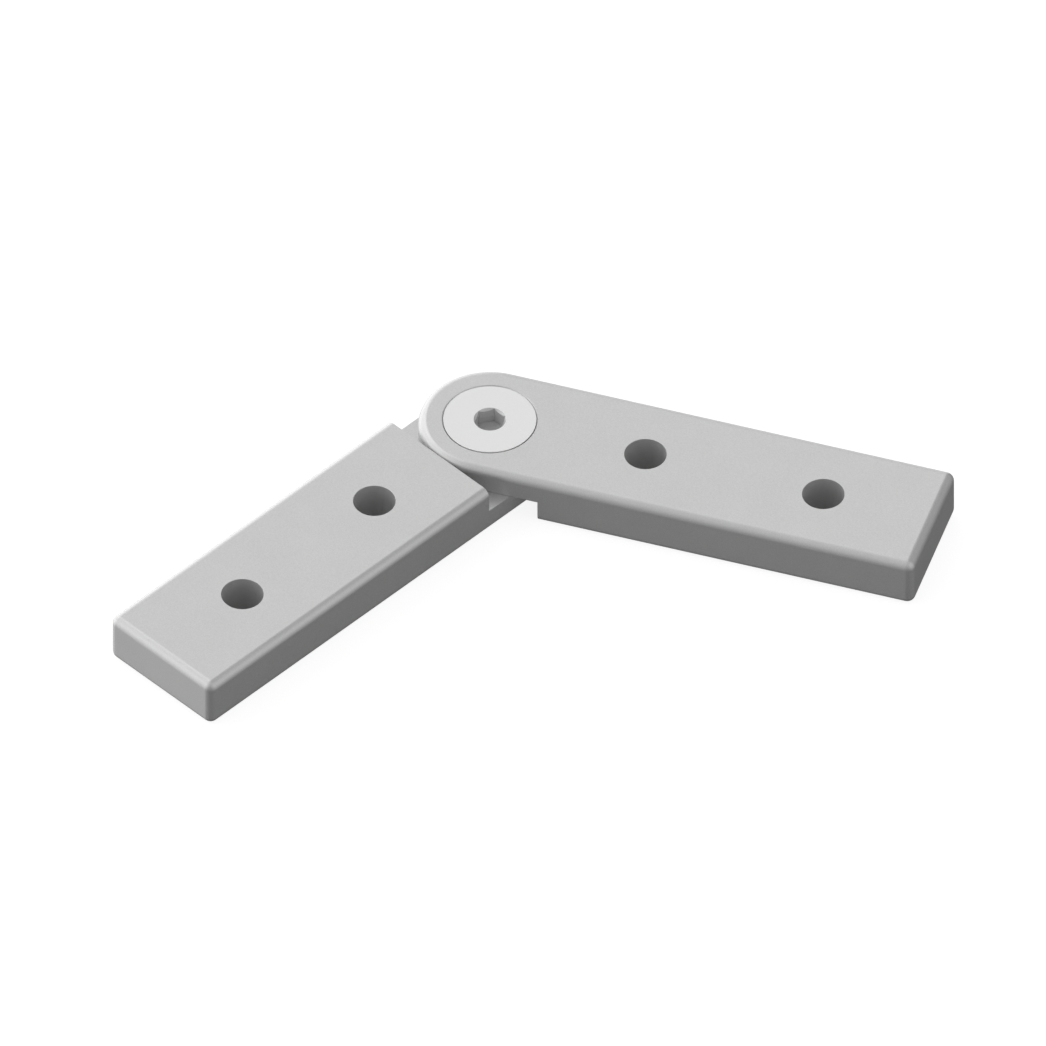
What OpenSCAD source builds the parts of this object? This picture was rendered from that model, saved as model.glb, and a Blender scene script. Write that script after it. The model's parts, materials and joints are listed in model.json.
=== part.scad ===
// Adjustable handrail connector: two flat arms on a half-lap pivot, clamped by a countersunk socket screw.
// The origin is on the pivot axis, in the plane of the undersides. +Z is up, and the lower arm lies along -X.

/* [Arms] */
// Width of each arm, and the diameter of its round nose
arm_width = 24.6; // [20:0.1:40]
// Thickness of each arm
arm_thick = 9.5; // [9.2:0.1:16]
// Length from the pivot axis to the far end of an arm
arm_reach = 80; // [72:1:160]
// Radius of every outer edge and corner
edge_r = 1.5; // [0.4:0.1:2]

/* [Fixing holes] */
// Diameter of the plain holes for the rail's screws
hole_d = 7.3; // [3:0.1:10]
// Distance from the pivot axis to the first hole
hole_first = 28; // [24:0.5:34]
// Distance from the first hole to the second
hole_pitch = 32; // [14:0.5:36]

/* [Pivot] */
// Bend of the connector away from straight, in degrees
bend = 62.6; // [-90:0.1:90]
// Gap between the two lapped faces
lap_gap = 0.1; // [0.04:0.02:0.3]
// Gap between a round nose and the other arm's shoulder
shoulder_gap = 0.2; // [0.1:0.05:1]
// Radial clearance of the screw's neck in the upper arm
pivot_gap = 0.05; // [0.02:0.01:0.1]

/* [Screw] */
// Diameter of the head at its flush top face
head_d = 16; // [12:0.1:16.4]
// Height of the straight rim around the head
head_rim = 0.2; // [0.1:0.05:0.5]
// Clearance between the head's cone and its seat, square to the cone
head_gap = 0.05; // [0.02:0.01:0.1]
// Outside diameter of the thread, and of the neck under the head
thread_d = 8; // [7.6:0.1:10]
// Distance from one thread to the next
thread_pitch = 1.25; // [0.75:0.05:1.5]
// Radial clearance between the screw's thread and the arm's
thread_gap = 0.1; // [0.04:0.01:0.15]
// Depth of the screw's tip inside the underside
tip_recess = 0.4; // [0.2:0.1:1]
// Chamfer around the screw's tip
tip_chamfer = 0.5; // [0.2:0.1:0.8]
// Chamfer at the mouth of the threaded hole, past the thread's outside
mouth_chamfer = 0.3; // [0.1:0.1:0.5]
// Size of the hex key, across its flats
hex_key = 4.76; // [3:0.01:6]
// Depth of the hex socket
hex_depth = 3.1; // [2:0.1:4]
// Width of the round chamfer around the hex socket, past its corners
hex_chamfer = 0.03; // [0.01:0.01:0.3]
// Depth of that chamfer at the middle of a flat
hex_chamfer_depth = 0.4; // [0.2:0.05:0.8]

/* [Hidden] */
$fn = 96;

ARM_GREY = [0.78, 0.78, 0.78];
SCREW_GREY = [0.88, 0.88, 0.88];

// How far a cutting shape runs past the face that it opens
past = 1;

nose_r = arm_width / 2;
lap_middle = arm_thick / 2;
lower_lap_z = lap_middle - lap_gap / 2;
upper_lap_z = lap_middle + lap_gap / 2;
shoulder_x = nose_r + shoulder_gap;

// A metric 60 degree thread, drawn as level rings: the depth, flats and flanks of one ring
thread_r = thread_d / 2;
thread_depth = 5 / 8 * cos(30) * thread_pitch;
crest_half = thread_pitch / 16;
flank_rise = thread_depth * tan(30);
root_r = thread_r - thread_depth;
ring_half = crest_half + flank_rise;
lowest_ring_end = tip_recess + tip_chamfer;
ring_count = floor((lower_lap_z - lowest_ring_end - ring_half) / thread_pitch + 1 / 2);

// Heights and radii of the 90 degree head, which is as high as it is wide past the neck
head_r = head_d / 2;
cone_top_z = arm_thick - head_rim;
cone_foot_z = cone_top_z - (head_r - thread_r);
seat_shift = head_gap * sqrt(2);
seat_top_r = head_r + head_rim + seat_shift;
neck_hole_r = thread_r + pivot_gap;
seat_foot_z = arm_thick - (seat_top_r - neck_hole_r);

// The socket has flats square to the lower arm
hex_turn = 30;
hex_corner_r = hex_key / sqrt(3);
hex_mouth_r = hex_corner_r + hex_chamfer;
hex_chamfer_slope = (hex_mouth_r - hex_key / 2) / hex_chamfer_depth;

// Outline of the thread's rings from the lowest to the highest, moved out by a clearance
function ring_z(i) = lower_lap_z - (ring_count - i - 1 / 2) * thread_pitch;
function thread_outline(gap) = [
    for (i = [0 : ring_count - 1])
        for (p = [[root_r, -ring_half], [thread_r, -crest_half], [thread_r, crest_half], [root_r, ring_half]])
            [p[0] + gap, ring_z(i) + p[1]]
];

// Half of an arm's rounded section, from its middle line at x = 0 out to its side
module half_section() {
    translate([0, edge_r]) square([nose_r, arm_thick - 2 * edge_r]);
    square([nose_r - edge_r, arm_thick]);
    for (z = [edge_r, arm_thick - edge_r]) translate([nose_r - edge_r, z]) circle(edge_r);
}

// Rounded profile of the far end, edge_r deep, standing on x = 0
module end_profile() {
    intersection() {
        square([edge_r, arm_thick]);
        union() {
            translate([0, edge_r]) square([edge_r, arm_thick - 2 * edge_r]);
            for (z = [edge_r, arm_thick - edge_r]) translate([0, z]) circle(edge_r);
        }
    }
}

// Rounded far end of an arm, set on the flat end of its bar
module arm_end() {
    half_run = nose_r - edge_r;
    translate([0, half_run, 0]) rotate([90, 0, 0]) linear_extrude(2 * half_run) end_profile();
    translate([0, half_run, 0]) rotate_extrude(angle = 90) end_profile();
    translate([0, -half_run, 0]) rotate([0, 0, -90]) rotate_extrude(angle = 90) end_profile();
}

// Whole arm along +X at full thickness, with its round nose about the pivot and its two fixing holes
module arm_blank() {
    difference() {
        union() {
            rotate([0, 0, 90]) rotate_extrude(angle = 180) half_section();
            for (side = [0, 1]) mirror([0, side, 0])
                rotate([90, 0, 90]) linear_extrude(arm_reach - edge_r) half_section();
            translate([arm_reach - edge_r, 0, 0]) arm_end();
        }
        for (i = [0, 1]) translate([hole_first + i * hole_pitch, 0, -past])
            cylinder(d = hole_d, h = arm_thick + 2 * past);
    }
}

// Block that a half-lap takes off an arm along +X, from a height up to another
module lap_cut(from_z, to_z) {
    translate([-nose_r - past, -nose_r - past, from_z])
        cube([shoulder_x + nose_r + past, arm_width + 2 * past, to_z - from_z]);
}

// Threaded hole through the lower tongue, with a chamfered mouth underneath
module threaded_hole() {
    mouth_r = thread_r + mouth_chamfer;
    rotate_extrude() polygon(concat(
        [[0, -past], [mouth_r + past, -past]],
        [[root_r + thread_gap, mouth_r - root_r - thread_gap]],
        thread_outline(thread_gap),
        [[root_r + thread_gap, lower_lap_z + past], [0, lower_lap_z + past]]
    ));
}

// Hole for the screw's neck and the seat for its head
module head_seat() {
    translate([0, 0, lap_middle - past]) cylinder(r = neck_hole_r, h = arm_thick - lap_middle);
    rotate_extrude() polygon([
        [0, seat_foot_z],
        [neck_hole_r, seat_foot_z],
        [seat_top_r + past, arm_thick + past],
        [0, arm_thick + past]
    ]);
}

// Arm that lies along -X and carries the thread
module lower_arm() {
    color(ARM_GREY) difference() {
        rotate([0, 0, 180]) difference() {
            arm_blank();
            lap_cut(lower_lap_z, arm_thick + past);
        }
        threaded_hole();
    }
}

// Arm that turns about the screw, shown at its bend
module upper_arm() {
    color(ARM_GREY) rotate([0, 0, -bend]) difference() {
        arm_blank();
        lap_cut(-past, upper_lap_z);
        head_seat();
    }
}

// Countersunk socket screw, flush with the upper arm's top face
module pivot_screw() {
    color(SCREW_GREY) difference() {
        rotate_extrude() polygon(concat(
            [[0, tip_recess], [root_r - tip_chamfer, tip_recess], [root_r, lowest_ring_end]],
            thread_outline(0),
            [[root_r, lap_middle], [thread_r, lap_middle], [thread_r, cone_foot_z]],
            [[head_r, cone_top_z], [head_r, arm_thick], [0, arm_thick]]
        ));
        rotate([0, 0, hex_turn]) translate([0, 0, arm_thick - hex_depth])
            cylinder(r = hex_corner_r, h = hex_depth + past, $fn = 6);
        translate([0, 0, arm_thick - hex_chamfer_depth]) cylinder(
            r1 = hex_key / 2,
            r2 = hex_mouth_r + past * hex_chamfer_slope,
            h = hex_chamfer_depth + past
        );
    }
}

lower_arm();
upper_arm();
pivot_screw();
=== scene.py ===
"""Adjustable handrail connector: two flat satin arms on a half-lap pivot, clamped by a flush socket screw."""

import json
import math

import bmesh
import bpy
from bpy.props import FloatProperty, FloatVectorProperty, PointerProperty
from bpy.types import Operator, Panel, PropertyGroup, Scene
from mathutils import Matrix, Vector


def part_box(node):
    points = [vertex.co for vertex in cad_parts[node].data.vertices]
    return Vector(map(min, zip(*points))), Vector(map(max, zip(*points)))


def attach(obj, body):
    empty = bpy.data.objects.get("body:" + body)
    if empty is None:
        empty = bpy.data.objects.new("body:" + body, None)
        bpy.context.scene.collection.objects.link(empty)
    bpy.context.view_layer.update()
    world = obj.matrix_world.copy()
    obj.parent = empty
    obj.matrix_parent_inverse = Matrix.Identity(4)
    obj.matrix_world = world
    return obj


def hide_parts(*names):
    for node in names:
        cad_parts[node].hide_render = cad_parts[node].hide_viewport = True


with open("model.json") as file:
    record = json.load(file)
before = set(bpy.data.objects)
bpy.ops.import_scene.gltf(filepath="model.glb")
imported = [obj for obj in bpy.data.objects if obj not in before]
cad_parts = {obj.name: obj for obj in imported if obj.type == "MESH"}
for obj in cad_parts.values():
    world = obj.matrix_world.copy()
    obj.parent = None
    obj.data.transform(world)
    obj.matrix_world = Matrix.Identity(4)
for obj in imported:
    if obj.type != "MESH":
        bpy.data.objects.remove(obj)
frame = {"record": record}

bl_info = {
    "name": "Handrail Connector",
    "version": (1, 0, 0),
    "blender": (4, 5, 0),
    "location": "3D View > Sidebar > Connector",
    "description": "Builds an adjustable handrail connector around its CAD frame",
    "category": "Object",
}

MM = 0.001
ORIGIN = Vector((0, 0, 0))
UPWARD = Vector((0, 0, 1))

# Steps of the round shapes
NOSE_STEPS = 96
ROUND_STEPS = 96
EDGE_STEPS = 10
BREAK_STEPS = 2

# Two places nearer than this are one place, and a normal with this much of an axis runs along it
NEAR = 0.001 * MM
ALONG = 0.999

# Turns between two faces: their edge is shaded sharp past the first, is a corner past the second,
# and is dissolved under the third
SHARP_ANGLE = math.radians(30)
CORNER_ANGLE = math.radians(60)
LEVEL_ANGLE = math.radians(0.3)

# A metric thread: lean of its flanks, depth as a share of its triangle, and crest as a share of its pitch
FLANK_ANGLE = math.radians(30)
DEPTH_SHARE = 5 / 8
CREST_SHARE = 1 / 8

# The steel's mottle: height of the relief, size of the clouds in grains, and share of the fine grain
RELIEF_HEIGHT = 0.02 * MM
CLOUD_GRAINS = 40
FINE_SHARE = 0.8

# The photograph's frame, and the pixel where the pivot axis leaves the top
PHOTO_PIXELS = 1046
PIXELS_PER_METRE = 5832
PIVOT_PIXEL = (489.84, 419.14)

# Half width of the floor, and its distance under the object
FLOOR_HALF = 3
FLOOR_DROP = 0.1 * MM

# Soft lights around the object, each with its bearing from +X, its height over the horizon and its half width
# in degrees, and its level
SOFT_LIGHTS = {
    "high_back": (69.4, 46, 15, 1.5),
    "left": (129.4, 23, 43.8, 1.52),
    "right": (-67.4, 27, 40.3, 0.92),
    "low_back": (61.4, -1, 22.4, 1.74),
    "low_left": (103.8, -20, 23.9, 1.03),
}


def mount(name):
    """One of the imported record's mounts, by its name."""
    return next(found for found in frame["record"]["mounts"] if found["name"] == name)


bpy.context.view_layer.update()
ARM_LOW, ARM_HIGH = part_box("lower_arm")
SCREW_LOW, SCREW_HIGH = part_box("pivot_screw")
FIRST_HOLE = Vector(mount("upper_arm_first_hole")["pos_m"])
SECOND_HOLE = Vector(mount("upper_arm_second_hole")["pos_m"])
HOLE_RADIUS = mount("upper_arm_first_hole")["dims"]["r_mm"] * MM
BEND_DEGREES = math.degrees(math.atan2(-FIRST_HOLE.y, FIRST_HOLE.x))


def length(name, description, default):
    """A size in metres that a user may set."""
    return FloatProperty(
        name=name,
        description=description,
        default=default,
        min=0,
        precision=5,
        unit="LENGTH",
        subtype="DISTANCE",
    )


def share(name, description, default):
    """A number from 0 to 1 that a user may set."""
    return FloatProperty(
        name=name, description=description, default=default, min=0, max=1, subtype="FACTOR"
    )


def angle(name, description, degrees):
    """An angle that a user may set, kept in radians."""
    return FloatProperty(
        name=name, description=description, default=math.radians(degrees), unit="ROTATION", subtype="ANGLE"
    )


def colour(name, description, grey):
    """A colour that a user may set, a neutral grey at first."""
    return FloatVectorProperty(
        name=name, description=description, default=(grey, grey, grey), min=0, max=1, size=3, subtype="COLOR"
    )


def level(name, description, default):
    """The brightness of a lamp or of the floor, where 1 is white."""
    return FloatProperty(name=name, description=description, default=default, min=0)


class ArmSizes(PropertyGroup):
    """Sizes that both arms share."""

    width: length("Width", "Width of an arm, and the diameter of its nose", ARM_HIGH.y - ARM_LOW.y)
    thickness: length("Thickness", "Full thickness of an arm", ARM_HIGH.z)
    reach: length("Reach", "Pivot axis to an arm's far end", -ARM_LOW.x)
    edge_radius: length("Edge radius", "Radius of the outer edges and corners", 1.5 * MM)
    edge_break: length("Edge break", "Width of the break along the cut edges", 0.03 * MM)
    hole_radius: length("Hole radius", "Radius of the fixing holes", HOLE_RADIUS)
    first_hole: length("First hole", "Pivot axis to the first fixing hole", FIRST_HOLE.xy.length)
    second_hole: length("Second hole", "Pivot axis to the second fixing hole", SECOND_HOLE.xy.length)
    bend: angle("Bend", "Turn of the upper arm away from straight", BEND_DEGREES)
    lap_gap: length("Lap gap", "Gap between the two lapped faces, as the photograph shows it", 0.03 * MM)
    shoulder_gap: length("Shoulder gap", "Gap between a nose and the other shoulder, as shown", 0.14 * MM)
    pivot_gap: length("Pivot gap", "Clearance around the screw's neck", 0.05 * MM)
    seat_gap: length("Seat gap", "Clearance under the screw's cone, square to it", 0.05 * MM)
    thread_gap: length("Thread gap", "Clearance around the screw's thread", 0.1 * MM)
    mouth_chamfer: length("Mouth chamfer", "Chamfer under the threaded hole, past the thread", 0.3 * MM)


class ScrewSizes(PropertyGroup):
    """Sizes of the countersunk socket screw."""

    head_radius: length("Head radius", "Radius of the flush top face", SCREW_HIGH.x)
    rim: length("Rim", "Height of the straight rim around the head", 0.2 * MM)
    rim_break: length("Rim break", "Rounding of the head's top edge", 0.04 * MM)
    thread_radius: length("Thread radius", "Outside radius of the thread and the neck", 4 * MM)
    pitch: length("Pitch", "Distance from one thread to the next", 1.25 * MM)
    tip_height: length("Tip height", "Height of the tip above the underside", SCREW_LOW.z)
    tip_chamfer: length("Tip chamfer", "Chamfer around the tip", 0.5 * MM)
    hex_key: length("Hex key", "Width of the socket across its flats", 4.76 * MM)
    hex_depth: length("Socket depth", "Depth of the hex socket", 3.1 * MM)
    hex_chamfer: length("Socket chamfer", "Width of the round chamfer past the hex corners", 0.03 * MM)
    hex_chamfer_depth: length("Chamfer depth", "Depth of that chamfer at the middle of a flat", 0.4 * MM)
    hex_turn: angle("Socket turn", "Turn of the hex about the screw's axis", 30)


class Finishes(PropertyGroup):
    """Finishes of the metal: satin arms, a bright screw, and bare steel where a tool has cut, whose darker
    colour is also painted shade in the bores and the socket.
    """

    arm_metallic: share("Arm metallic", "Share of the light that the satin steel mirrors", 0.7)
    arm_colour: colour("Arm colour", "Satin steel of the arms", 0.58)
    arm_roughness: share("Arm roughness", "Roughness of the satin steel", 0.4)
    arm_grain: length("Arm grain", "Size of the satin steel's grain", 0.2 * MM)
    screw_metallic: share("Screw metallic", "Share of the light that the bright steel mirrors", 0.5)
    screw_colour: colour("Screw colour", "Bright steel of the screw", 0.8)
    screw_roughness: share("Screw roughness", "Roughness of the bright steel", 0.5)
    screw_grain: length("Screw grain", "Size of the bright steel's grain", 0.3 * MM)
    bare_metallic: share("Bare metallic", "Share of the light that the bare steel mirrors", 0.2)
    bare_grain: length("Bare grain", "Distance between the tool marks of the bare steel", 0.15 * MM)
    # Darker than the arms' steel: painted shade inside the fixing holes, on top of the dull tone of drilled
    # steel
    bore_colour_and_shade: colour("Bore colour", "Bare steel of the fixing holes", 0.46)
    bore_roughness: share("Bore roughness", "Roughness of the fixing holes", 0.5)
    # Darker than the head's steel: painted shade inside the hex socket and on its chamfer, on top of the tone
    # of pressed steel
    socket_colour_and_shade: colour("Socket colour", "Bare steel of the hex socket", 0.56)
    socket_roughness: share("Socket roughness", "Roughness of the hex socket", 0.15)


class StageLook(PropertyGroup):
    """Floor, room and camera."""

    floor_colour: colour("Floor colour", "Own colour of the floor", 0.25)
    floor_white: level("Floor white", "Brightness that the floor has for the camera besides its light", 0.86)
    ambient: level("Ambient", "Brightness of the room between the lights", 0.05)
    azimuth: angle("Azimuth", "Turn of the camera about the object", -45)
    elevation: angle("Elevation", "Height of the camera above the horizon", 45)
    distance: length("Distance", "Distance of the camera", 0.6)


def scene_settings(context):
    """The four groups of settings of this scene."""
    scene = context.scene
    return scene.connector_arms, scene.connector_screw, scene.connector_finish, scene.connector_stage


class Wire:
    """An output of a node. Arithmetic on it adds Math nodes."""

    def __init__(self, net, socket):
        self.net = net
        self.socket = socket

    def math(self, operation, first, second):
        """A Math node of two values, of which either may be this output."""
        return self.net.node("ShaderNodeMath", {"operation": operation}, {0: first, 1: second})

    def __add__(self, other):
        return self.math("ADD", self, other)

    def __radd__(self, other):
        return self.math("ADD", other, self)

    def __sub__(self, other):
        return self.math("SUBTRACT", self, other)

    def __rsub__(self, other):
        return self.math("SUBTRACT", other, self)

    def __mul__(self, other):
        return self.math("MULTIPLY", self, other)

    def __rmul__(self, other):
        return self.math("MULTIPLY", other, self)

    def __rpow__(self, other):
        return self.math("POWER", other, self)


class Net:
    """A node tree that is written as Python expressions."""

    def __init__(self, owner):
        owner.use_nodes = True
        self.tree = owner.node_tree
        self.tree.nodes.clear()

    def node(self, kind, settings=None, inputs=None, output=0):
        """Adds a node, sets it, and fills or links its sockets. Returns an output, if it has any."""
        made = self.tree.nodes.new(kind)
        for name, value in (settings or {}).items():
            setattr(made, name, value)
        for name, value in (inputs or {}).items():
            if isinstance(value, Wire):
                self.tree.links.new(value.socket, made.inputs[name])
            else:
                made.inputs[name].default_value = value
        return Wire(self, made.outputs[output]) if made.outputs else None


def opaque(grey):
    """A colour of three numbers with full alpha."""
    return (*grey, 1)


def scaled(grey, factor):
    """A colour made darker or lighter, with full alpha."""
    return opaque([min(1, part * factor) for part in grey])


def steel(name, metallic, base, roughness, grain, spread, relief, stretch=1):
    """Steel with a fine grain: a little spread in its colour and gloss, and a slight relief.

    A stretch over 1 draws the grain out level, as the marks of a drill run around its bore.
    """
    material = bpy.data.materials.new(name)
    net = Net(material)
    place = net.node("ShaderNodeTexCoord", output="Object")
    place = net.node("ShaderNodeMapping", {}, {"Vector": place, "Scale": (1 / stretch, 1 / stretch, 1)})
    fine = net.node("ShaderNodeTexNoise", {}, {"Vector": place, "Scale": 1 / grain, "Detail": 2})
    cloud_scale = 1 / (CLOUD_GRAINS * grain)
    cloud = net.node("ShaderNodeTexNoise", {}, {"Vector": place, "Scale": cloud_scale, "Detail": 3})
    mottle = FINE_SHARE * fine + (1 - FINE_SHARE) * cloud
    tint = net.node(
        "ShaderNodeMix",
        {"data_type": "RGBA"},
        {"Factor": mottle, "A": scaled(base, 1 - spread), "B": scaled(base, 1 + spread)},
        output="Result",
    )
    bump = net.node("ShaderNodeBump", {}, {"Strength": relief, "Distance": RELIEF_HEIGHT, "Height": fine})
    surface = net.node(
        "ShaderNodeBsdfPrincipled",
        {},
        {
            "Base Color": tint,
            "Metallic": metallic,
            "Roughness": roughness + spread * (mottle - 0.5),
            "Normal": bump,
        },
    )
    net.node("ShaderNodeOutputMaterial", {}, {"Surface": surface})
    return material


def made_once(name, *look, **detail):
    """A finish that several pieces share."""
    return bpy.data.materials.get(name) or steel(name, *look, **detail)


def satin_steel(finish):
    """Even satin finish of the arms."""
    look = finish.arm_metallic, finish.arm_colour, finish.arm_roughness, finish.arm_grain
    return made_once("satin_steel_arms", *look, spread=0.18, relief=0.12)


def bright_steel(finish):
    """Brighter, more even finish of the screw."""
    look = finish.screw_metallic, finish.screw_colour, finish.screw_roughness, finish.screw_grain
    return made_once("bright_steel_screw", *look, spread=0.02, relief=0.03)


def bored_steel_and_shade(finish):
    """Dull steel as a drill leaves it, with tool marks around each bore, and a darker colour that paints the
    shade inside the bore.
    """
    look = finish.bare_metallic, finish.bore_colour_and_shade, finish.bore_roughness, finish.bare_grain
    return made_once("bare_steel_bores_and_shade", *look, spread=0.08, relief=0.1, stretch=12)


def pressed_steel_and_shade(finish):
    """Smooth steel of the pressed socket, paler than the bores but darker than the head: painted shade in the
    socket, which also dims its chamfer's highlight.
    """
    look = finish.bare_metallic, finish.socket_colour_and_shade, finish.socket_roughness, finish.bare_grain
    return made_once("bare_steel_socket_and_shade", *look, spread=0.05, relief=0.05)


def place_piece(context, bm, name, node, materials, edge_break=0):
    """Makes a closed mesh a piece that stands for a CAD node and moves with the body of the same name."""
    bmesh.ops.remove_doubles(bm, verts=bm.verts[:], dist=NEAR)
    bmesh.ops.recalc_face_normals(bm, faces=bm.faces[:])
    if any(not edge.is_manifold for edge in bm.edges):
        raise RuntimeError(f"{name} isn't closed")
    mesh = bpy.data.meshes.new(name)
    bm.to_mesh(mesh)
    bm.free()
    mesh.shade_smooth()
    mesh.set_sharp_from_angle(angle=SHARP_ANGLE)
    for material in materials:
        mesh.materials.append(material)
    piece = bpy.data.objects.new(name, mesh)
    context.scene.collection.objects.link(piece)
    if edge_break:
        breaker = piece.modifiers.new("edge_break", "BEVEL")
        breaker.width = edge_break
        breaker.segments = BREAK_STEPS
        breaker.limit_method = "ANGLE"
        breaker.angle_limit = CORNER_ANGLE
        breaker.use_clamp_overlap = False
    shading = piece.modifiers.new("flat_faces", "WEIGHTED_NORMAL")
    shading.keep_sharp = True
    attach(piece, node)
    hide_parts(node)


def distinct(parts):
    """Parts of a mesh without repeats, in the order they came."""
    return list(dict.fromkeys(parts))


def ring_edges(verts):
    """The edges of a ring of vertices."""
    return distinct(edge for vert in verts for edge in vert.link_edges)


def leave_bare_and_shaded(faces):
    """Gives faces that a tool has cut the piece's second material, the darker steel that paints shade into
    the bores and the socket.
    """
    for face in faces:
        face.material_index = 1


def drill(bm, x, profile, bare=False):
    """Wall of a round hole at x, through the radii and heights of its profile. Returns its two rims.

    A bare hole has the steel that its drill left, in a darker colour that paints shade into the bore.
    """
    rings = []
    for radius, height in profile:
        made = bmesh.ops.create_circle(
            bm, segments=ROUND_STEPS, radius=radius, matrix=Matrix.Translation((x, 0, height))
        )
        rings.append(ring_edges(made["verts"]))
    for ring, following in zip(rings, rings[1:]):
        wall = bmesh.ops.bridge_loops(bm, edges=ring + following)["faces"]
        if bare:
            leave_bare_and_shaded(wall)
    return rings[0], rings[-1]


def is_level(face, height):
    """Whether a face lies flat at a height."""
    return abs(face.normal.z) > ALONG and abs(face.calc_center_median().z - height) < NEAR


def open_flat(bm, height, rims):
    """Fills the flat at a height again, with holes inside the given rims."""
    flat = [face for face in bm.faces if is_level(face, height)]
    border = [edge for face in flat for edge in face.edges]
    bmesh.ops.delete(bm, geom=flat, context="FACES_ONLY")
    inner = [edge for rim in rims for edge in rim]
    filled = bmesh.ops.triangle_fill(bm, use_beauty=True, edges=border + inner)["geom"]
    seams = [part for part in filled if isinstance(part, bmesh.types.BMEdge)]
    bmesh.ops.dissolve_limit(bm, angle_limit=LEVEL_ANGLE, edges=seams)


def arm_bar(sizes):
    """Full bar along +X with a half-round nose about the pivot axis and a square end."""
    nose_r = sizes.width / 2
    bm = bmesh.new()
    first = bm.verts.new((0, -nose_r, 0))
    nose = bmesh.ops.spin(
        bm, geom=[first], cent=ORIGIN, axis=UPWARD, angle=-math.pi, steps=NOSE_STEPS, use_duplicate=False
    )
    corner = next(part for part in nose["geom_last"] if isinstance(part, bmesh.types.BMVert))
    for step in ((sizes.reach, 0, 0), (0, -sizes.width, 0)):
        corner = bmesh.ops.extrude_vert_indiv(bm, verts=[corner])["verts"][0]
        bmesh.ops.translate(bm, verts=[corner], vec=step)
    bm.edges.new((corner, first))
    bmesh.ops.contextual_create(bm, geom=bm.edges[:])
    raised = bmesh.ops.extrude_face_region(bm, geom=bm.faces[:])["geom"]
    top = [part for part in raised if isinstance(part, bmesh.types.BMVert)]
    bmesh.ops.translate(bm, verts=top, vec=(0, 0, sizes.thickness))
    bmesh.ops.recalc_face_normals(bm, faces=bm.faces[:])
    return bm


def cut_lap(bm, shoulder_x, lap_z, low_tongue):
    """Takes the upper or the lower half off the bar, up to its shoulder."""
    whole = bm.verts[:] + bm.edges[:] + bm.faces[:]
    bmesh.ops.bisect_plane(bm, geom=whole, plane_co=(shoulder_x, 0, 0), plane_no=(1, 0, 0))
    tongue = [face for face in bm.faces if face.calc_center_median().x < shoulder_x]
    corners = distinct(vert for face in tongue for vert in face.verts)
    lines = distinct(edge for face in tongue for edge in face.edges)
    bmesh.ops.bisect_plane(bm, geom=corners + lines + tongue, plane_co=(0, 0, lap_z), plane_no=UPWARD)
    spare = []
    for face in bm.faces:
        middle = face.calc_center_median()
        if middle.x < shoulder_x and (middle.z > lap_z) == low_tongue:
            spare.append(face)
    bmesh.ops.delete(bm, geom=spare, context="FACES")
    open_edges = [edge for edge in bm.edges if edge.is_boundary]
    around_lap = [edge for edge in open_edges if all(abs(vert.co.z - lap_z) < NEAR for vert in edge.verts)]
    around_shoulder = [edge for edge in open_edges if edge not in around_lap]
    lap_verts = distinct(vert for edge in around_lap for vert in edge.verts)
    ends = [vert for vert in lap_verts if abs(vert.co.x - shoulder_x) < NEAR]
    corner = bm.edges.new(ends)
    for outline in (around_lap, around_shoulder):
        bmesh.ops.contextual_create(bm, geom=[*outline, corner])
    bmesh.ops.dissolve_limit(bm, angle_limit=LEVEL_ANGLE, verts=bm.verts[:], edges=bm.edges[:])
    bmesh.ops.recalc_face_normals(bm, faces=bm.faces[:])


def round_edges(bm, sizes, shoulder_x, lap_z):
    """Rounds every outer edge and corner of the bar, and leaves the edges of the cut sharp."""

    def is_cut(face):
        at_shoulder = abs(face.normal.x) > ALONG and abs(face.calc_center_median().x - shoulder_x) < NEAR
        return at_shoulder or is_level(face, lap_z)

    outer = []
    for edge in bm.edges:
        if edge.calc_face_angle(0) > CORNER_ANGLE and not any(is_cut(face) for face in edge.link_faces):
            outer.append(edge)
    bmesh.ops.bevel(
        bm,
        geom=outer,
        offset=sizes.edge_radius,
        offset_type="OFFSET",
        segments=EDGE_STEPS,
        profile=0.5,
        affect="EDGES",
        clamp_overlap=False,
        material=-1,
    )


def lap_height(sizes, low_tongue):
    """Height of an arm's lapped face: half a gap under or over the middle."""
    side = -1 if low_tongue else 1
    return sizes.thickness / 2 + side * sizes.lap_gap / 2


def lapped_arm(sizes, low_tongue, pivot_hole):
    """An arm along +X with its lap, rounded edges, pivot hole and fixing holes."""
    shoulder_x = sizes.width / 2 + sizes.shoulder_gap
    bottom = 0
    top = sizes.thickness
    lap_z = lap_height(sizes, low_tongue)
    bm = arm_bar(sizes)
    cut_lap(bm, shoulder_x, lap_z, low_tongue)
    round_edges(bm, sizes, shoulder_x, lap_z)
    rims = {bottom: [], top: [], lap_z: []}
    low_rim, high_rim = drill(bm, 0, pivot_hole)
    rims[bottom if low_tongue else lap_z].append(low_rim)
    rims[lap_z if low_tongue else top].append(high_rim)
    for x in (sizes.first_hole, sizes.second_hole):
        bore = [(sizes.hole_radius, bottom), (sizes.hole_radius, top)]
        # The bores take the darker bore steel, which paints shade inside the holes
        low_rim, high_rim = drill(bm, x, bore, bare=True)
        rims[bottom].append(low_rim)
        rims[top].append(high_rim)
    for height, around in rims.items():
        open_flat(bm, height, around)
    return bm


def turn(bm, about_z):
    """Turns a whole mesh about the pivot axis."""
    bmesh.ops.rotate(bm, verts=bm.verts[:], cent=ORIGIN, matrix=Matrix.Rotation(about_z, 3, UPWARD))


def thread_depth(screw):
    """Depth of a metric 60 degree thread."""
    return DEPTH_SHARE * math.cos(FLANK_ANGLE) * screw.pitch


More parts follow.
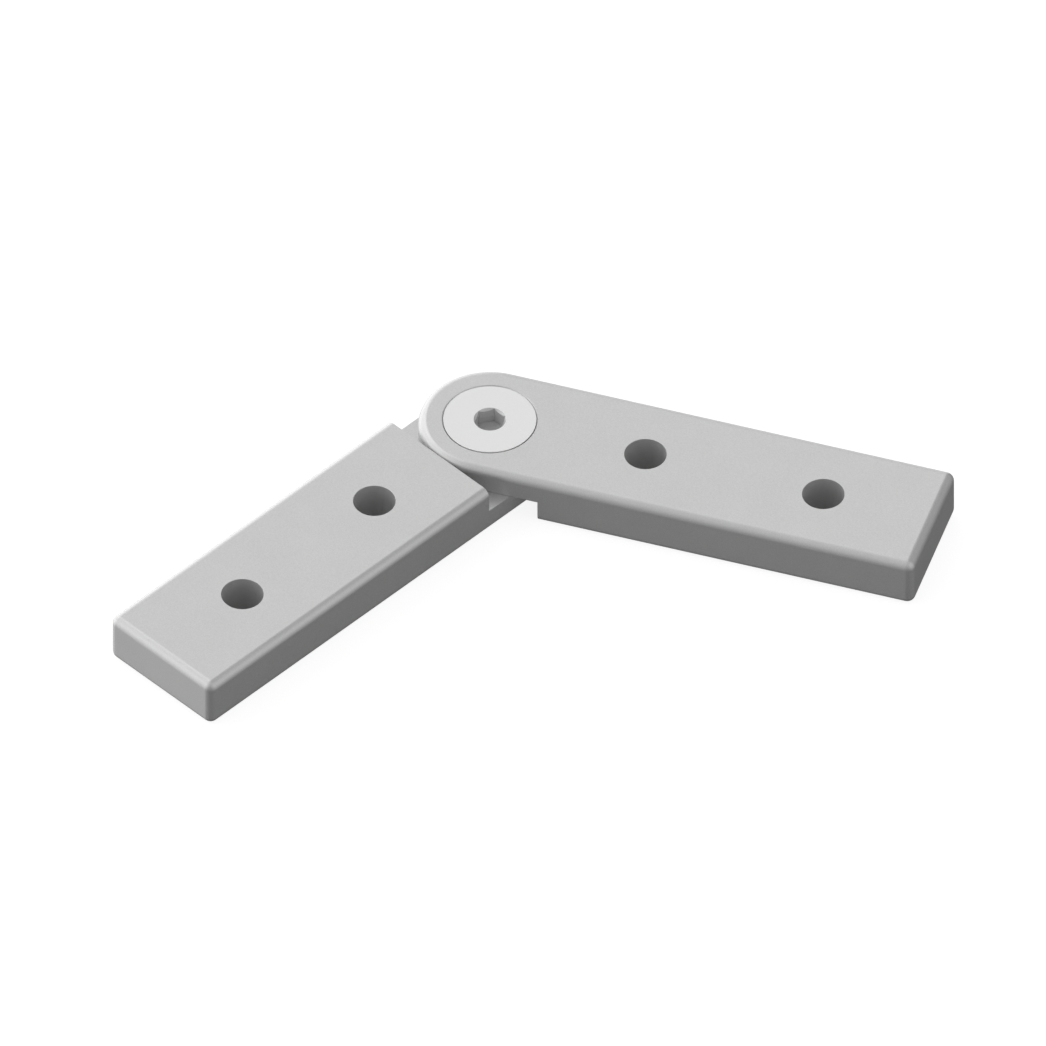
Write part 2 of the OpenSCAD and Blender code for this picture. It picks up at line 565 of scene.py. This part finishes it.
def thread_rings(sizes, screw, gap):
    """Radii and heights of the thread's level rings, lowest first, moved out by a clearance."""
    crest = screw.thread_radius + gap
    root = crest - thread_depth(screw)
    crest_half = CREST_SHARE * screw.pitch / 2
    ring_half = crest_half + thread_depth(screw) * math.tan(FLANK_ANGLE)
    lap_z = lap_height(sizes, True)
    room = lap_z - screw.tip_height - screw.tip_chamfer - ring_half
    count = math.floor(room / screw.pitch + 1 / 2)
    rings = []
    for number in range(count):
        middle = lap_z - (count - number - 1 / 2) * screw.pitch
        rings += [(root, middle - ring_half), (crest, middle - crest_half)]
        rings += [(crest, middle + crest_half), (root, middle + ring_half)]
    return rings


def threaded_hole(sizes, screw):
    """Profile of the hole through the lower tongue, from its chamfered mouth underneath up to the lap."""
    mouth_r = screw.thread_radius + sizes.mouth_chamfer
    root = screw.thread_radius - thread_depth(screw) + sizes.thread_gap
    rings = thread_rings(sizes, screw, sizes.thread_gap)
    return [(mouth_r, 0), (root, mouth_r - root), *rings, (root, lap_height(sizes, True))]


def screw_seat(sizes, screw):
    """Profile of the hole through the upper tongue, from the lap up through the countersink."""
    neck_r = screw.thread_radius + sizes.pivot_gap
    mouth_r = screw.head_radius + screw.rim + sizes.seat_gap * math.sqrt(2)
    foot_z = sizes.thickness - (mouth_r - neck_r)
    return [(neck_r, lap_height(sizes, False)), (neck_r, foot_z), (mouth_r, sizes.thickness)]


def hex_mouth(screw):
    """Radius of the round chamfer's mouth around the hex socket."""
    return screw.hex_key / math.sqrt(3) + screw.hex_chamfer


def hex_radius(screw, bearing):
    """Distance from the axis to the hex's wall at a bearing."""
    sixth = math.pi / 3
    from_flat = (bearing - screw.hex_turn) % sixth - sixth / 2
    return screw.hex_key / 2 / math.cos(from_flat)


def screw_body(sizes, screw):
    """Outside of the screw, spun from its profile, and open in the middle of the head."""
    top = sizes.thickness
    middle = top / 2
    root = screw.thread_radius - thread_depth(screw)
    cone_top = top - screw.rim
    cone_foot = cone_top - (screw.head_radius - screw.thread_radius)
    profile = [
        (0, screw.tip_height),
        (root - screw.tip_chamfer, screw.tip_height),
        (root, screw.tip_height + screw.tip_chamfer),
        *thread_rings(sizes, screw, 0),
        (root, middle),
        (screw.thread_radius, middle),
        (screw.thread_radius, cone_foot),
        (screw.head_radius, cone_top),
        (screw.head_radius, top - screw.rim_break),
        (screw.head_radius - screw.rim_break, top),
        (hex_mouth(screw), top),
    ]
    bm = bmesh.new()
    outline = [bm.verts.new((radius, 0, height)) for radius, height in profile]
    edges = [bm.edges.new(pair) for pair in zip(outline, outline[1:])]
    bmesh.ops.spin(
        bm,
        geom=outline + edges,
        cent=ORIGIN,
        axis=UPWARD,
        angle=2 * math.pi,
        steps=ROUND_STEPS,
        use_merge=True,
        use_duplicate=False,
    )
    bmesh.ops.remove_doubles(bm, verts=bm.verts[:], dist=NEAR)
    return bm


def grow_ring(bm, edges):
    """Extrudes an open ring of edges. Returns the new ring's vertices and edges, and the faces up to it."""
    grown = bmesh.ops.extrude_edge_only(bm, edges=edges)["geom"]
    return {
        "verts": [part for part in grown if isinstance(part, bmesh.types.BMVert)],
        "edges": [part for part in grown if isinstance(part, bmesh.types.BMEdge) and part.is_boundary],
        "faces": [part for part in grown if isinstance(part, bmesh.types.BMFace)],
    }


def sink_socket(bm, sizes, screw):
    """Grows the hex socket down from the open mouth in the head: round chamfer, six walls and floor."""
    top = sizes.thickness
    slope = (hex_mouth(screw) - screw.hex_key / 2) / screw.hex_chamfer_depth
    mouth = [edge for edge in bm.edges if edge.is_boundary]
    chamfer = grow_ring(bm, mouth)
    for vert in chamfer["verts"]:
        radius = hex_radius(screw, math.atan2(vert.co.y, vert.co.x))
        outward = vert.co.xy.normalized()
        depth = (hex_mouth(screw) - radius) / slope
        vert.co = (*(outward * radius), top - depth)
    wall = grow_ring(bm, chamfer["edges"])
    for vert in wall["verts"]:
        vert.co.z = top - screw.hex_depth
    floor = bmesh.ops.contextual_create(bm, geom=wall["edges"])
    # The chamfer, walls and floor take the darker socket steel, which paints shade in the socket
    leave_bare_and_shaded(chamfer["faces"] + wall["faces"] + floor["faces"])


class CONNECTOR_OT_lower_arm(Operator):
    """Make the arm that carries the thread, along -X"""

    bl_idname = "connector.lower_arm"
    bl_label = "Lower Arm"

    def execute(self, context):
        sizes, screw, finish, _ = scene_settings(context)
        bm = lapped_arm(sizes, True, threaded_hole(sizes, screw))
        turn(bm, math.pi)
        materials = satin_steel(finish), bored_steel_and_shade(finish)
        place_piece(context, bm, "lower_arm_bar", "lower_arm", materials, sizes.edge_break)
        return {"FINISHED"}


class CONNECTOR_OT_upper_arm(Operator):
    """Make the arm that turns about the screw, at its bend"""

    bl_idname = "connector.upper_arm"
    bl_label = "Upper Arm"

    def execute(self, context):
        sizes, screw, finish, _ = scene_settings(context)
        bm = lapped_arm(sizes, False, screw_seat(sizes, screw))
        turn(bm, -sizes.bend)
        materials = satin_steel(finish), bored_steel_and_shade(finish)
        place_piece(context, bm, "upper_arm_bar", "upper_arm", materials, sizes.edge_break)
        return {"FINISHED"}


class CONNECTOR_OT_pivot_screw(Operator):
    """Make the countersunk socket screw"""

    bl_idname = "connector.pivot_screw"
    bl_label = "Pivot Screw"

    def execute(self, context):
        sizes, screw, finish, _ = scene_settings(context)
        bm = screw_body(sizes, screw)
        sink_socket(bm, sizes, screw)
        materials = bright_steel(finish), pressed_steel_and_shade(finish)
        place_piece(context, bm, "socket_screw", "pivot_screw", materials)
        return {"FINISHED"}


def direction(bearing, height):
    """Unit vector at a bearing from +X and a height over the horizon."""
    flat = math.cos(height)
    return Vector((flat * math.cos(bearing), flat * math.sin(bearing), math.sin(height)))


def camera_axes(stage):
    """Unit vectors to the right of the camera's view, up in it, and back towards the camera."""
    back = direction(stage.azimuth - math.pi / 2, stage.elevation)
    right = UPWARD.cross(back).normalized()
    return right, back.cross(right), back


def add_camera(context, sizes, stage):
    """Parallel view with the photograph's angle, scale and middle."""
    right, up, back = camera_axes(stage)
    pivot_top = Vector((0, 0, sizes.thickness))
    across = (PHOTO_PIXELS / 2 - PIVOT_PIXEL[0]) / PIXELS_PER_METRE
    down = (PHOTO_PIXELS / 2 - PIVOT_PIXEL[1]) / PIXELS_PER_METRE
    data = bpy.data.cameras.new("photo_camera")
    data.type = "ORTHO"
    data.ortho_scale = PHOTO_PIXELS / PIXELS_PER_METRE
    camera = bpy.data.objects.new("photo_camera", data)
    camera.location = pivot_top + right * across - up * down + back * stage.distance
    camera.rotation_euler = (-back).to_track_quat("-Z", "Y").to_euler()
    context.scene.collection.objects.link(camera)
    context.scene.camera = camera


def floor_material(stage):
    """Plain floor, white to the camera, with the object's soft shadow.

    The metal mirrors the room through it.
    """
    material = bpy.data.materials.new("plain_floor")
    net = Net(material)
    camera, mirrored, through, shadow = (
        net.node("ShaderNodeLightPath", output=f"Is {kind} Ray")
        for kind in ("Camera", "Glossy", "Transmission", "Shadow")
    )
    from_below = net.node("ShaderNodeNewGeometry", output="Backfacing")
    own = net.node("ShaderNodeBsdfDiffuse", {}, {"Color": opaque(stage.floor_colour)})
    added = net.node("ShaderNodeEmission", {}, {"Strength": stage.floor_white * camera})
    seen = net.node("ShaderNodeAddShader", {}, {0: own, 1: added})
    clear = net.node("ShaderNodeBsdfTransparent")
    surface = net.node(
        "ShaderNodeMixShader", {}, {0: mirrored + through + shadow + from_below, 1: seen, 2: clear}
    )
    net.node("ShaderNodeOutputMaterial", {}, {"Surface": surface})
    return material


def add_floor(context, stage):
    """Wide level floor just under the object."""
    bm = bmesh.new()
    bmesh.ops.create_grid(bm, x_segments=1, y_segments=1, size=FLOOR_HALF)
    bmesh.ops.translate(bm, verts=bm.verts[:], vec=(0, 0, -FLOOR_DROP))
    mesh = bpy.data.meshes.new("floor")
    bm.to_mesh(mesh)
    bm.free()
    mesh.materials.append(floor_material(stage))
    floor = bpy.data.objects.new("floor", mesh)
    context.scene.collection.objects.link(floor)


def light_world(context, stage):
    """Soft lights in a dim room, which looks white to the camera."""
    world = bpy.data.worlds.new("soft_studio")
    net = Net(world)
    towards = net.node("ShaderNodeTexCoord", output="Generated")
    light = stage.ambient
    for bearing, height, half_width, brightness in SOFT_LIGHTS.values():
        middle = direction(math.radians(bearing), math.radians(height))
        nearness = net.node(
            "ShaderNodeVectorMath", {"operation": "DOT_PRODUCT"}, {0: towards, 1: middle}, output="Value"
        )
        halvings = (1 - nearness) * (1 / (1 - math.cos(math.radians(half_width))))
        light = light + brightness * 0.5 ** halvings
    camera = net.node("ShaderNodeLightPath", output="Is Camera Ray")
    strength = camera + (1 - camera) * light
    room = net.node("ShaderNodeBackground", {}, {"Color": (1, 1, 1, 1), "Strength": strength})
    net.node("ShaderNodeOutputWorld", {}, {"Surface": room})
    context.scene.world = world


class CONNECTOR_OT_stage(Operator):
    """Set the floor, the lights and the camera"""

    bl_idname = "connector.stage"
    bl_label = "Stage"

    def execute(self, context):
        sizes, _, _, stage = scene_settings(context)
        add_camera(context, sizes, stage)
        add_floor(context, stage)
        light_world(context, stage)
        context.scene.view_settings.view_transform = "Standard"
        return {"FINISHED"}


class CONNECTOR_PT_panel(Panel):
    """Sizes, finishes and buttons of the connector"""

    bl_label = "Handrail Connector"
    bl_idname = "CONNECTOR_PT_panel"
    bl_space_type = "VIEW_3D"
    bl_region_type = "UI"
    bl_category = "Connector"

    def draw(self, context):
        for group in scene_settings(context):
            box = self.layout.box()
            for name in group.__annotations__:
                box.prop(group, name)
        for operator in OPERATORS:
            self.layout.operator(operator.bl_idname)


GROUPS = {
    "connector_arms": ArmSizes,
    "connector_screw": ScrewSizes,
    "connector_finish": Finishes,
    "connector_stage": StageLook,
}
OPERATORS = (CONNECTOR_OT_lower_arm, CONNECTOR_OT_upper_arm, CONNECTOR_OT_pivot_screw, CONNECTOR_OT_stage)


def register():
    for made in (*GROUPS.values(), *OPERATORS, CONNECTOR_PT_panel):
        bpy.utils.register_class(made)
    for name, group in GROUPS.items():
        setattr(Scene, name, PointerProperty(type=group))


def unregister():
    for name in GROUPS:
        delattr(Scene, name)
    for made in (CONNECTOR_PT_panel, *reversed(OPERATORS), *GROUPS.values()):
        bpy.utils.unregister_class(made)


def main():
    register()
    bpy.ops.connector.lower_arm()
    bpy.ops.connector.upper_arm()
    bpy.ops.connector.pivot_screw()
    bpy.ops.connector.stage()


if __name__ == "__main__":
    main()
